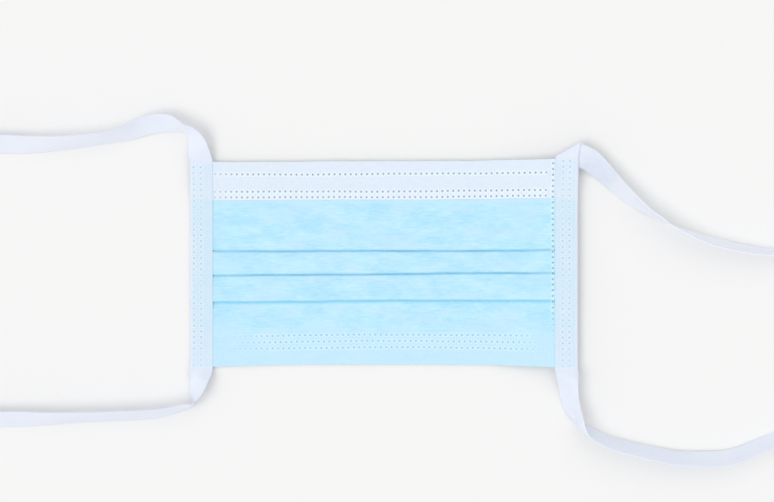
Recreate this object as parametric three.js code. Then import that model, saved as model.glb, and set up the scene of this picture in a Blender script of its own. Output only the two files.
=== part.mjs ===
// A pleated tie-on surgical face mask, lying flat with its outer face up.
// Millimetres, +Z up, +Y towards the nose edge. The origin is on the resting surface,
// under the middle of the mask without its ties.
import * as THREE from 'three';
import { mergeVertices } from 'three/addons/utils/BufferGeometryUtils.js';

// Driving dimensions
const maskWidth = 178; // over the two bindings
const bindingWidth = 10.5;
const sheetThickness = 1;
const sheetGap = 0.2; // between the outer and the inner layer
const foldGap = 0.3; // between the neighbouring runs of a pleat
const pleatDepth = 8;
const bandWidth = 17.5; // inner layer turned over the top edge
const hemWidth = 17; // outer layer turned under the bottom edge
const topRampRadius = 12; // how gently the top panel climbs on to the pleats
const hemRampRadius = 4; // and the bottom panel on to its hem
const hemRampLead = 2; // that ramp starts this far above the hem
const bindingClearance = 0.3; // binding to the layers' cut ends
const chamfer = 0.4;
const tieGap = 0.3; // tie's first face to the binding's end
const sampleWidth = 78; // the x of the left and right columns below

// The cross lines of the mask, as y at x = -sampleWidth, 0 and +sampleWidth
const crossLines = {
  top: { left: 46.9, middle: 47.1, right: 47.9 },
  firstFold: { left: 6.1, middle: 6.1, right: 6.4 },
  secondFold: { left: -5.3, middle: -4.5, right: -3.9 },
  thirdFold: { left: -17.8, middle: -17, right: -16.9 },
  bottom: { left: -47.6, middle: -46.4, right: -47.6 },
};

// Underside of the binding's front leg above the resting surface, along the mask
const bindingCrown = [
  { y: -60, z: 5 },
  { y: -29, z: 5 },
  { y: -15, z: 8.8 },
  { y: 12, z: 8.8 },
  { y: 29, z: 5 },
  { y: 60, z: 5 },
];

// Where the layers and the bindings are cut into facets
const layerStations = [-87.7, -78, -74.5, -71, -28, 15, 50, 60, 71, 74.5, 78, 81, 84.5, 87.7];
const foldSteps = 5;
const topPanelSteps = 5;
const pleatRampSteps = 3;
const hemRampSteps = 2;
const bandSteps = 3;
const bindingStations = [-38, -29, -25, -22, -19, -15, 12, 16, 20.5, 25, 29, 35, 38, 41, 44];

// The ties' routes from the mask to the free end, as rows of centre x, centre y and roll.
// Roll is in degrees: 0 lies flat, and a positive roll lifts the edge on the left of the run.
const tieTopLeft = [
  [-83.75, 47.5, 0], [-84.9, 52.4, -21], [-85.9, 56.2, -38], [-87.4, 59.3, -58],
  [-89.2, 61.1, -69], [-91.9, 62.2, -71], [-95.4, 63.4, -55], [-99.1, 64.4, -43],
  [-103.7, 64.4, -39], [-110.2, 62.9, -39], [-116.6, 60.2, -51], [-121.2, 58.8, -60],
  [-128.9, 57.2, -65], [-134.2, 56.6, -63], [-143, 55.6, -60], [-151.7, 55, -54],
  [-162.3, 54.6, -45], [-170.9, 54.8, -41], [-178, 55, -38], [-185, 55.2, -37],
];
const tieBottomLeft = [
  [-83.75, -48.7, 0], [-84.2, -52.4, -37], [-85.1, -56.1, -54], [-86.1, -59.8, -68],
  [-87.6, -62.8, -74], [-89.9, -64.9, -71], [-95.2, -66.7, -68], [-101.7, -68.3, -64],
  [-108.1, -69, -62], [-114.5, -69.4, -62], [-121, -69.7, -61], [-127.4, -70, -62],
  [-133.9, -70.2, -61], [-140.3, -70.4, -60], [-146.7, -70.7, -57], [-153.2, -71, -53],
  [-159.6, -71.1, -50], [-166.1, -71.2, -45], [-175, -71.3, -43], [-185, -71, -40],
];
const tieBottomRight = [
  [83.75, -48.7, 0], [84.3, -53.3, 33], [85, -59.2, 42], [86.3, -65.3, 50],
  [88.1, -69.5, 60], [89.9, -72.4, 74], [92, -74.9, 92], [94.6, -77.2, 108],
  [98.5, -79.6, 115], [103.3, -81.8, 118], [108.8, -83.6, 120], [118, -85.9, 121],
  [125.8, -87.6, 122], [133.6, -89, 123], [141.4, -89.5, 124], [149.4, -89.6, 126],
  [156.2, -89.2, 125], [163.2, -87.4, 122], [170, -84.5, 120], [179.6, -80.8, 122],
  [188, -77.6, 123],
];
// The top right tie is turned over first, so its roll starts at 180
const tieTopRight = [
  [89.6, 49.5, 183], [94.3, 47.5, 198], [99, 43.8, 213], [103.5, 39.3, 228],
  [108.1, 34.7, 237], [112.7, 30.5, 244], [117.3, 26.6, 252], [121.9, 23.2, 260],
  [126.5, 20.6, 266], [131.1, 17.8, 275], [135.7, 15.7, 280], [140.3, 13.8, 285],
  [144.9, 12, 289], [149.5, 10.4, 292], [154.1, 9.2, 293], [161, 7.5, 293],
  [168, 6.4, 292], [175, 5.5, 289], [188, 4.6, 287],
];

// The turned-over corner of the top right tie: its crease starts at the mask's corner and
// runs at creaseAngle, and the run under it leaves at twice that angle less a quarter turn
const creaseAngle = THREE.MathUtils.degToRad(30);
const creaseStart = { x: 78.5, y: 49.4 };
const creaseLift = sheetThickness + foldGap; // the upper run above the lower one
const creaseSteps = 4;
const cornerClearance = 0.05; // the lifted corner to the run under it
const cornerEasing = { from: -12, to: -0.6 }; // the corner's rise, before the tie's edge
const sideEasing = { from: 7.5, to: 0.5 }; // the layers' rise, before the bindings

// Sizes worked out from those
const half = maskWidth / 2;
const sandwich = 2 * sheetThickness + sheetGap;
const rank = sandwich + foldGap; // from one run of a pleat to the next
const bulge = sandwich + foldGap / 2; // outer radius of a pleat's fold
const rampRadius = bulge + foldGap + sandwich / 2;
const plyOffset = (sheetThickness + sheetGap) / 2;
const wrapRadius = sheetThickness + sheetGap;
const wrapReach = wrapRadius + sheetThickness / 2;
const hemLift = sheetThickness + sheetGap;
const legLift = sheetThickness + foldGap; // the layers above the binding's back leg
const tieCentreX = half - bindingWidth / 2;

const smoothstep = (from, to, value) => THREE.MathUtils.smoothstep(value, from, to);

// y of a cross line at any x: the parabola through its three columns
function crossLineY(line, x) {
  const t = x / sampleWidth;
  return line.middle + ((line.right - line.left) / 2) * t
    + ((line.right + line.left) / 2 - line.middle) * t * t;
}

// Moves a nominal y (as at x = 0) to its place at x, in proportion between the cross lines
function warpY(x, y) {
  const lines = Object.values(crossLines);
  let k = 0;
  while (k < lines.length - 2 && y < lines[k + 1].middle) k += 1;
  const [above, below] = [lines[k], lines[k + 1]];
  const t = (y - above.middle) / (below.middle - above.middle);
  const inside = THREE.MathUtils.clamp(t, 0, 1);
  const rest = (t - inside) * (below.middle - above.middle);
  return THREE.MathUtils.lerp(crossLineY(above, x), crossLineY(below, x), inside) + rest;
}

// The corner of the mask that lies on the turned-over tie is lifted by that tie
function cornerLift(x, y) {
  const angle = 2 * creaseAngle - Math.PI / 2;
  const s = -(x - creaseStart.x) * Math.sin(angle) + (y - creaseStart.y) * Math.cos(angle);
  return (creaseLift + cornerClearance) * smoothstep(cornerEasing.from, cornerEasing.to, s);
}

// The layers rise near the sides, on to the bindings' back legs
function sideLift(x) {
  const before = half - bindingWidth - Math.abs(x);
  return legLift * (1 - smoothstep(sideEasing.to, sideEasing.from, before));
}

// A pen that draws runs and arcs in the side view, y across and z up
class Pen {
  constructor(y, z) {
    this.points = [new THREE.Vector2(y, z)];
    this.heading = Math.PI; // towards -y
  }

  get tip() {
    return this.points[this.points.length - 1];
  }

  run(length, steps = 1) {
    const step = new THREE.Vector2(Math.cos(this.heading), Math.sin(this.heading));
    step.multiplyScalar(length / steps);
    for (let k = 0; k < steps; k += 1) this.points.push(this.tip.clone().add(step));
    return this;
  }

  runTo(y, steps = 1) {
    return this.run(Math.abs(y - this.tip.x), steps);
  }

  // A turn is in degrees, anticlockwise when positive
  arc(radius, turn, steps) {
    const angle = THREE.MathUtils.degToRad(turn) / steps;
    const chord = 2 * radius * Math.sin(Math.abs(angle) / 2);
    for (let k = 0; k < steps; k += 1) {
      this.heading += angle / 2;
      this.run(chord);
      this.heading += angle / 2;
    }
    return this;
  }

  // Climbs by rise and levels out again, in two equal arcs
  ramp(radius, rise, steps) {
    const turn = THREE.MathUtils.radToDeg(Math.acos(1 - rise / (2 * radius)));
    return this.arc(radius, -turn, steps).arc(radius, turn, steps);
  }
}

const rampLength = (radius, rise) => 2 * radius * Math.sin(Math.acos(1 - rise / (2 * radius)));

// The line midway between the two layers, from the top edge down through the three pleats
function middleLine() {
  const folds = [crossLines.firstFold, crossLines.secondFold, crossLines.thirdFold];
  const low = sandwich / 2;
  const climb = 2 * rank;
  const pen = new Pen(crossLines.top.middle - wrapReach, low);
  folds.forEach((fold, k) => {
    const turnY = fold.middle + bulge;
    const tuckY = fold.middle + pleatDepth - bulge;
    const radius = k === 0 ? topRampRadius : rampRadius;
    pen.runTo(tuckY + rampLength(radius, climb), k === 0 ? topPanelSteps : 1);
    pen.ramp(radius, climb, pleatRampSteps);
    pen.runTo(turnY);
    pen.arc(rank / 2, 180, foldSteps);
    pen.runTo(tuckY);
    pen.arc(rank / 2, -180, foldSteps);
  });
  pen.runTo(crossLines.bottom.middle + wrapReach + hemWidth + hemRampLead);
  pen.ramp(hemRampRadius, hemLift, hemRampSteps);
  pen.runTo(crossLines.bottom.middle + wrapReach);
  return pen.points;
}

// A polyline moved sideways by a distance, to the left of its run when positive
function offsetLine(points, distance) {
  const normals = points.slice(1).map((point, k) => {
    const run = point.clone().sub(points[k]).normalize();
    return new THREE.Vector2(-run.y, run.x);
  });
  return points.map((point, k) => {
    const before = normals[Math.max(k - 1, 0)];
    const after = normals[Math.min(k, normals.length - 1)];
    const mitre = before.clone().add(after);
    mitre.multiplyScalar(2 / mitre.lengthSq());
    return point.clone().addScaledVector(mitre, distance);
  });
}

// The outer layer runs under the bottom edge and back up as a hem
function outerMiddle(line) {
  const points = offsetLine(line, -plyOffset);
  const pen = new Pen(points[points.length - 1].x, points[points.length - 1].y);
  pen.arc(wrapRadius, 180, foldSteps - 1).run(hemWidth - wrapReach);
  return points.concat(pen.points.slice(1));
}

// The inner layer runs over the top edge and down the front as the band
function innerMiddle(line) {
  const points = offsetLine(line, plyOffset);
  const pen = new Pen(points[0].x, points[0].y);
  pen.heading = 0;
  pen.arc(wrapRadius, 180, foldSteps - 1).run(bandWidth - wrapReach, bandSteps);
  return pen.points.slice(1).reverse().concat(points);
}

// Closed geometry from rings of points: walls between the rings and a cap at either end
function ringSolid(rings, capOutline) {
  const size = rings[0].length;
  const index = [];
  for (let i = 0; i + 1 < rings.length; i += 1) {
    for (let k = 0; k < size; k += 1) {
      const a = i * size + k;
      const b = i * size + ((k + 1) % size);
      index.push(a, b, b + size, a, b + size, a + size);
    }
  }
  const last = (rings.length - 1) * size;
  for (const [a, b, c] of THREE.ShapeUtils.triangulateShape(capOutline, [])) {
    index.push(a, c, b, last + a, last + b, last + c);
  }
  const geometry = new THREE.BufferGeometry();
  const coordinates = rings.flat().flatMap((point) => [point.x, point.y, point.z]);
  geometry.setAttribute('position', new THREE.Float32BufferAttribute(coordinates, 3));
  geometry.setIndex(index);
  return turnedOutwards(mergeVertices(geometry));
}

// Six times the volume is the sum of the triple products of its triangles
function turnedOutwards(geometry) {
  const position = geometry.getAttribute('position');
  const index = geometry.getIndex();
  const corner = (k) => new THREE.Vector3().fromBufferAttribute(position, index.getX(k));
  let volume = 0;
  for (let k = 0; k < index.count; k += 3) {
    volume += corner(k).dot(corner(k + 1).cross(corner(k + 2)));
  }
  if (volume < 0) {
    for (let k = 0; k < index.count; k += 3) {
      const second = index.getX(k + 1);
      index.setX(k + 1, index.getX(k + 2));
      index.setX(k + 2, second);
    }
  }
  geometry.computeVertexNormals();
  return geometry;
}

// A layer: its middle line thickened, carried across the mask and settled on what it lies on
function layerGeometry(middle) {
  const front = offsetLine(middle, -sheetThickness / 2);
  const back = offsetLine(middle, sheetThickness / 2);
  const outline = front.concat(back.reverse());
  const rings = layerStations.map((x) => outline.map((point) => {
    const y = warpY(x, point.x);
    return new THREE.Vector3(x, y, point.y + sideLift(x) + cornerLift(x, y));
  }));
  return ringSolid(rings, outline);
}

// Underside of the binding's front leg at y, eased between the rows of its table
function crownAt(y) {
  const k = bindingCrown.findIndex((row) => row.y >= y);
  const [from, to] = [bindingCrown[k - 1], bindingCrown[k]];
  return THREE.MathUtils.lerp(from.z, to.z, smoothstep(from.y, to.y, y));
}

// A binding: tape folded round the side edge, side = -1 on the left and +1 on the right
function bindingGeometry(side) {
  const x = side * half;
  const ends = [
    crossLineY(crossLines.bottom, x) - bindingClearance,
    crossLineY(crossLines.top, x) + bindingClearance,
  ];
  const outlineAt = (y) => {
    const top = crownAt(y) + sheetThickness;
    const web = bindingWidth - sheetThickness;
    return [
      [0, 0], [bindingWidth - chamfer, 0], [bindingWidth, chamfer],
      [bindingWidth, top - chamfer], [bindingWidth - chamfer, top], [0, top],
      [0, top - sheetThickness], [web, top - sheetThickness],
      [web, sheetThickness], [0, sheetThickness],
    ].map(([reach, z]) => new THREE.Vector2(reach, z));
  };
  const rings = [ends[0], ...bindingStations, ends[1]].map((y) => outlineAt(y).map((point) => {
    const pointX = side * (half - bindingWidth + point.x);
    return new THREE.Vector3(pointX, y, point.y + cornerLift(pointX, y));
  }));
  return ringSolid(rings, outlineAt(ends[0]));
}

// The four corners of a tie's section: across its width and through its thickness
function tieRing(centre, heading, across, width) {
  const normal = heading.clone().cross(across).normalize();
  return [[-1, -1], [1, -1], [1, 1], [-1, 1]].map(([u, v]) => centre.clone()
    .addScaledVector(across, (u * width) / 2)
    .addScaledVector(normal, (v * sheetThickness) / 2));
}

// Sections along a route: each is rolled about its heading and rests on its lowest corner
function routeRings(route) {
  return route.map(([x, y, rollDegrees], k) => {
    const before = route[Math.max(k - 1, 0)];
    const after = route[Math.min(k + 1, route.length - 1)];
    const heading = new THREE.Vector3(after[0] - before[0], after[1] - before[1], 0).normalize();
    if (k === 0 && rollDegrees === 0) heading.set(0, Math.sign(y), 0);
    const roll = THREE.MathUtils.degToRad(rollDegrees);
    const across = new THREE.Vector3(-heading.y * Math.cos(roll), heading.x * Math.cos(roll), Math.sin(roll));
    const rise = (bindingWidth * Math.abs(Math.sin(roll)) + sheetThickness * Math.abs(Math.cos(roll))) / 2;
    return tieRing(new THREE.Vector3(x, y, rise), heading, across, bindingWidth);
  });
}

// The turned-over start: up from the binding, round the crease and away under it
function creaseRings() {
  const radius = creaseLift / 2;
  const axisZ = sheetThickness / 2 + radius;
  const along = new THREE.Vector3(Math.cos(creaseAngle), Math.sin(creaseAngle), 0);
  const outward = new THREE.Vector3(-Math.sin(creaseAngle), Math.cos(creaseAngle), 0);
  const skewWidth = bindingWidth / Math.cos(creaseAngle);
  const startY = crossLineY(crossLines.top, half) + bindingClearance + tieGap;
  const middleY = creaseStart.y + (bindingWidth / 2) * Math.tan(creaseAngle);
  const up = new THREE.Vector3(0, 1, 0);
  const left = new THREE.Vector3(-1, 0, 0);
  const rings = [tieRing(new THREE.Vector3(tieCentreX, startY, axisZ + radius), up, left, bindingWidth)];
  for (let k = 0; k <= creaseSteps; k += 1) {
    const turn = (Math.PI * k) / creaseSteps;
    const centre = new THREE.Vector3(tieCentreX, middleY, axisZ)
      .addScaledVector(along, radius * turn * Math.tan(creaseAngle))
      .addScaledVector(outward, radius * Math.sin(turn));
    centre.z += radius * Math.cos(turn);
    const heading = outward.clone().multiplyScalar(Math.cos(turn));
    heading.z = -Math.sin(turn);
    rings.push(tieRing(centre, heading, along.clone().negate(), skewWidth));
  }
  return rings;
}

function tieGeometry(rings) {
  const section = [[-1, -1], [1, -1], [1, 1], [-1, 1]].map(([u, v]) => new THREE.Vector2(u, v));
  return ringSolid(rings, section);
}

// A route whose first row is moved to face the binding's end across the gap
function fromBinding(route) {
  const [x, y, roll] = route[0];
  const line = y > 0 ? crossLines.top : crossLines.bottom;
  const end = crossLineY(line, Math.sign(x) * half) + Math.sign(y) * (bindingClearance + tieGap);
  return [[x, end, roll], ...route.slice(1)];
}

const outerMaterial = new THREE.MeshStandardMaterial({ color: '#b9eafd', roughness: 0.85, metalness: 0 });
const innerMaterial = new THREE.MeshStandardMaterial({ color: '#e6f0fc', roughness: 0.9, metalness: 0 });
const tapeMaterial = new THREE.MeshStandardMaterial({ color: '#e7edfb', roughness: 0.8, metalness: 0 });

const mask = new THREE.Group();

function addPiece(name, geometry, material) {
  const piece = new THREE.Mesh(geometry, material.clone());
  piece.name = name;
  mask.add(piece);
}

const line = middleLine();
addPiece('outer_layer', layerGeometry(outerMiddle(line)), outerMaterial);
addPiece('inner_layer', layerGeometry(innerMiddle(line)), innerMaterial);
addPiece('binding_left', bindingGeometry(-1), tapeMaterial);
addPiece('binding_right', bindingGeometry(1), tapeMaterial);
addPiece('tie_top_left', tieGeometry(routeRings(fromBinding(tieTopLeft))), tapeMaterial);
addPiece('tie_bottom_left', tieGeometry(routeRings(fromBinding(tieBottomLeft))), tapeMaterial);
addPiece('tie_top_right', tieGeometry([...creaseRings(), ...routeRings(tieTopRight)]), tapeMaterial);
addPiece('tie_bottom_right', tieGeometry(routeRings(fromBinding(tieBottomRight))), tapeMaterial);

export default mask;
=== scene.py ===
import math

import bpy
import numpy as np
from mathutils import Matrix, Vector


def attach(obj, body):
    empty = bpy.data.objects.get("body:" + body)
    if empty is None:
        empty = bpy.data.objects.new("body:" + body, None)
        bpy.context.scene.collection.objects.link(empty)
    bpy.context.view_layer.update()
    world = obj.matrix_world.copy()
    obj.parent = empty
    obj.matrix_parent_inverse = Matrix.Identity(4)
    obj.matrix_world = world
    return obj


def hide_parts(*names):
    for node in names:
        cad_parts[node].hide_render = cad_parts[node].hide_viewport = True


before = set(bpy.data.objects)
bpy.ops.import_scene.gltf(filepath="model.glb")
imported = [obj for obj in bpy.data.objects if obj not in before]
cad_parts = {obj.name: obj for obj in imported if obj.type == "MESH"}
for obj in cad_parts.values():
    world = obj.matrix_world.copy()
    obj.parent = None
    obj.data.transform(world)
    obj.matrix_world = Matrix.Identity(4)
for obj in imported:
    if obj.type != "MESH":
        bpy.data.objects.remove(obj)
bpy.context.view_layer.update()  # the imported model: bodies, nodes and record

mm = 0.001  # lengths below are in millimetres until a mesh is built


def smoothstep(low, high, value):
    # 3t^2 - 2t^3, where t is the clamped share of the way from low to high
    t = np.clip((value - low) / (high - low), 0.0, 1.0)
    return t * t * (3.0 - 2.0 * t)


def linear(red, green, blue):
    # a screen colour of 0 to 255 as a scene colour, by the sRGB curve
    c = np.array([red, green, blue]) / 255.0
    return np.where(c <= 0.04045, c / 12.92, ((c + 0.055) / 1.055) ** 2.4)


def unit(rows):
    return rows / np.linalg.norm(rows, axis=1)[:, None]


def alongLine(line):
    # the length of the line up to each of its points
    return np.concatenate([[0.0], np.cumsum(np.linalg.norm(np.diff(line, axis=0), axis=1))])


def waves(x, y, table):
    # a sum of sines: each row is amplitude, turns per mm along x and y, and phase
    total = 0.0
    for amplitude, alongX, alongY, phase in table:
        total = total + amplitude * np.sin(2.0 * np.pi * (alongX * x + alongY * y) + phase)
    return total


def placed(name, data):
    # a new object of the scene, at the origin, that holds the data
    item = bpy.data.objects.new(name, data)
    bpy.context.scene.collection.objects.link(item)
    return item


studio = {
    "lens": 85.0,
    "sensor": 36.0,
    "pictureWidth": 356.0,  # across the picture at aimHeight
    "pictureCentre": (1.6, 5.8),
    "aimHeight": 1.0,
    "suns": {  # direction from the mask, strength, and the spread in degrees that softens it
        "keySun": ((-0.50, -0.28, 1.0), 0.90, 32.0),
        "fillSun": ((0.35, 0.60, 0.85), 0.40, 60.0),
    },
    "skyStrength": 0.722,
    "skyColour": (1.0, 0.996, 0.990),
    "floorColour": (0.868, 0.868, 0.868),
    "floorSize": 3.0,  # metres
}


def makeStudio(values):
    scene = bpy.context.scene
    scene.view_settings.view_transform = "Standard"
    camera = bpy.data.cameras.new("studioCamera")
    camera.lens = values["lens"]
    camera.sensor_width = values["sensor"]
    camera.clip_start = 0.01
    away = values["pictureWidth"] * values["lens"] / values["sensor"]
    centreX, centreY = values["pictureCentre"]
    scene.camera = placed("studioCamera", camera)
    scene.camera.location = (centreX * mm, centreY * mm, (values["aimHeight"] + away) * mm)

    for name, (towards, strength, spread) in values["suns"].items():
        sun = bpy.data.lights.new(name, "SUN")
        sun.energy = strength
        sun.angle = math.radians(spread)
        sunObject = placed(name, sun)
        sunObject.rotation_mode = "QUATERNION"
        sunObject.rotation_quaternion = Vector(towards).to_track_quat("Z", "Y")

    world = bpy.data.worlds.new("studioSky")
    world.use_nodes = True
    background = world.node_tree.nodes["Background"]
    background.inputs["Color"].default_value = (*values["skyColour"], 1.0)
    background.inputs["Strength"].default_value = values["skyStrength"]
    scene.world = world

    half = values["floorSize"] / 2
    mesh = bpy.data.meshes.new("floor")
    corners = [(-half, -half, 0), (half, -half, 0), (half, half, 0), (-half, half, 0)]
    mesh.from_pydata(corners, [], [(0, 1, 2, 3)])
    material = bpy.data.materials.new("paleFloor")
    material.use_nodes = True
    shader = material.node_tree.nodes["Principled BSDF"]
    shader.inputs["Base Color"].default_value = (*values["floorColour"], 1.0)
    shader.inputs["Roughness"].default_value = 0.95
    shader.inputs["Specular IOR Level"].default_value = 0.0
    mesh.materials.append(material)
    placed("floor", mesh)
    print("studio ready")


makeStudio(studio)


class Board:
    # places nodes in one tree and wires them

    def __init__(self, tree):
        self.tree = tree

    def put(self, kind, **settings):
        node = self.tree.nodes.new(kind)
        for key, value in settings.items():
            setattr(node, key, value)
        return node

    def wire(self, source, target):
        if isinstance(source, bpy.types.NodeSocket):
            self.tree.links.new(source, target)
        elif target.type == "RGBA":
            target.default_value = (*source, 1.0)
        else:
            target.default_value = source

    def maths(self, operation, *values):
        node = self.put("ShaderNodeMath", operation=operation)
        for k, value in enumerate(values):
            self.wire(value, node.inputs[k])
        return node.outputs[0]

    def noise(self, vector, stretch, turn=0.0, shift=(0.0, 0.0, 0.0), detail=1.0, roughness=0.5):
        # noise on the stretched, turned and shifted vector
        mapping = self.put("ShaderNodeMapping")
        self.wire(vector, mapping.inputs["Vector"])
        mapping.inputs["Scale"].default_value = stretch
        mapping.inputs["Rotation"].default_value = (0.0, 0.0, math.radians(turn))
        mapping.inputs["Location"].default_value = shift
        node = self.put("ShaderNodeTexNoise")
        self.wire(mapping.outputs[0], node.inputs["Vector"])
        for key, value in (("Scale", 1.0), ("Detail", detail), ("Roughness", roughness)):
            node.inputs[key].default_value = value
        return node.outputs["Fac"]

    def ranged(self, value, fromLow, fromHigh, toLow=0.0, toHigh=1.0):
        node = self.put("ShaderNodeMapRange", interpolation_type="SMOOTHSTEP")
        for key, item in (("Value", value), ("From Min", fromLow), ("From Max", fromHigh),
                          ("To Min", toLow), ("To Max", toHigh)):
            self.wire(item, node.inputs[key])
        return node.outputs[0]

    def mixed(self, share, first, second):
        node = self.put("ShaderNodeMix", data_type="RGBA")
        self.wire(share, node.inputs[0])
        self.wire(first, node.inputs[6])
        self.wire(second, node.inputs[7])
        return node.outputs[2]

    def group(self, tree, **inputs):
        node = self.put("ShaderNodeGroup")
        node.node_tree = tree
        for key, value in inputs.items():
            self.wire(value, node.inputs[key])
        return node


def newGroup(name, numbers, outputs):
    # a group with a Vector, numbers with their defaults, and outputs that are numbers too
    tree = bpy.data.node_groups.new(name, "ShaderNodeTree")
    tree.interface.new_socket(name="Vector", in_out="INPUT", socket_type="NodeSocketVector")
    for label, value in numbers.items():
        socket = tree.interface.new_socket(name=label, in_out="INPUT", socket_type="NodeSocketFloat")
        socket.default_value = value
    for label in outputs:
        tree.interface.new_socket(name=label, in_out="OUTPUT", socket_type="NodeSocketFloat")
    board = Board(tree)
    return tree, board, board.put("NodeGroupInput").outputs, board.put("NodeGroupOutput").inputs


cloth = {  # what all the cloths share
    "rimReach": 1.5,  # a weld dot's pale rim, over the dot's own reach
    "strands": [  # loose fibres: stretch, turn in degrees, shift
        ((260, 2300, 1), 9, (0, 0, 0)), ((300, 2100, 1), -24, (4.3, 4.3, 0)),
        ((340, 1900, 1), 58, (8.1, 8.1, 0)),
    ],
    "strandWidth": 0.055,
    "patches": {  # the same, then detail, roughness, and the noise from thin to thick
        "Cloud": ((62, 130, 1), 4, (2.0, 5.0, 0), 4.0, 0.66, 0.34, 0.66),
        "Streaks": ((190, 1100, 1), 2, (7.0, 1.0, 0), 2.5, 0.6, 0.32, 0.68),
        "Tint": ((48, 95, 1), -8, (11.0, 3.0, 0), 2.5, 0.55, 0.42, 0.68),
    },
    "wobbleStretch": (420, 420, 1),  # the bond points' lattice: how its rows waver
    "wobble": 0.35,
    "closeness": 0.7,
    "squash": 2.0,  # of the ovals
    "softness": 1.6,
    "dotPolish": -0.3,  # roughness added at the weld dots
    "patchRoughness": 0.06,
    "rimRelief": 0.3,  # of the dots' own relief
    "sheenRoughness": 0.6,
    "sharpAngle": 50.0,
}


def makeWeldGroup():
    # a round dot about each whole number of the vector's x on the line where its y is 0;
    # its z is how strongly the dots are pressed there
    tree, board, entry, leave = newGroup("weldDots", {"Radius": 0.2, "Softness": 0.1}, ("Dot", "Rim"))
    parts = board.put("ShaderNodeSeparateXYZ")
    board.wire(entry["Vector"], parts.inputs[0])
    place, off, strength = parts.outputs
    across = board.maths("SUBTRACT", place, board.maths("ROUND", place))
    square = board.maths("MULTIPLY", across, across)
    away = board.maths("SQRT", board.maths("MULTIPLY_ADD", off, off, square))
    inner = board.maths("SUBTRACT", entry["Radius"], entry["Softness"])
    outer = board.maths("ADD", entry["Radius"], entry["Softness"])
    dot = board.ranged(away, inner, outer, 1.0, 0.0)
    far = board.maths("MULTIPLY", outer, cloth["rimReach"])
    rim = board.maths("SUBTRACT", board.ranged(away, outer, far, 1.0, 0.0), dot)
    board.wire(board.maths("MULTIPLY", dot, strength), leave["Dot"])
    board.wire(board.maths("MULTIPLY", rim, strength), leave["Rim"])
    return tree


def makeFibreGroup():
    # loose fibres: thin ridges where stretched noise crosses its middle, in three directions,
    # with cloudy patches where the web is thick or thin
    tree, board, entry, leave = newGroup("fibreWeb", {}, ("Fibres", *cloth["patches"]))
    ridges = 0.0
    for stretch, turn, shift in cloth["strands"]:
        field = board.noise(entry["Vector"], stretch, turn, shift, 1.5)
        away = board.maths("ABSOLUTE", board.maths("SUBTRACT", field, 0.5))
        ridge = board.ranged(away, 0.0, cloth["strandWidth"], 1.0, 0.0)
        ridges = board.maths("MAXIMUM", ridge, ridges)
    board.wire(ridges, leave["Fibres"])
    for name, (stretch, turn, shift, detail, roughness, thin, thick) in cloth["patches"].items():
        field = board.noise(entry["Vector"], stretch, turn, shift, detail, roughness)
        board.wire(board.ranged(field, thin, thick), leave[name])
    return tree


def makeBondGroup():
    # a diagonal lattice of small oval bond points, Pitch apart, on coordinates in metres
    tree, board, entry, leave = newGroup("bondPoints", {"Pitch": 0.001, "Size": 0.28}, ("Point",))
    wobble = board.noise(entry["Vector"], cloth["wobbleStretch"])
    parts = board.put("ShaderNodeSeparateXYZ")
    board.wire(entry["Vector"], parts.inputs[0])
    u = board.maths("DIVIDE", parts.outputs[0], entry["Pitch"])
    v = board.maths("DIVIDE", parts.outputs[1], entry["Pitch"])
    u = board.maths("MULTIPLY_ADD", wobble, cloth["wobble"], u)
    squares = []
    for diagonal in (board.maths("ADD", u, v), board.maths("SUBTRACT", u, v)):
        part = board.maths("MULTIPLY", diagonal, cloth["closeness"])
        part = board.maths("SUBTRACT", part, board.maths("ROUND", part))
        squares.append(board.maths("MULTIPLY", part, part))
    away = board.maths("SQRT", board.maths("MULTIPLY_ADD", squares[1], cloth["squash"], squares[0]))
    wide = board.maths("MULTIPLY", entry["Size"], cloth["softness"])
    board.wire(board.ranged(away, entry["Size"], wide, 1.0, 0.0), leave["Point"])
    return tree


weldGroup = makeWeldGroup()
fibreGroup = makeFibreGroup()
bondGroup = makeBondGroup()


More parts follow.
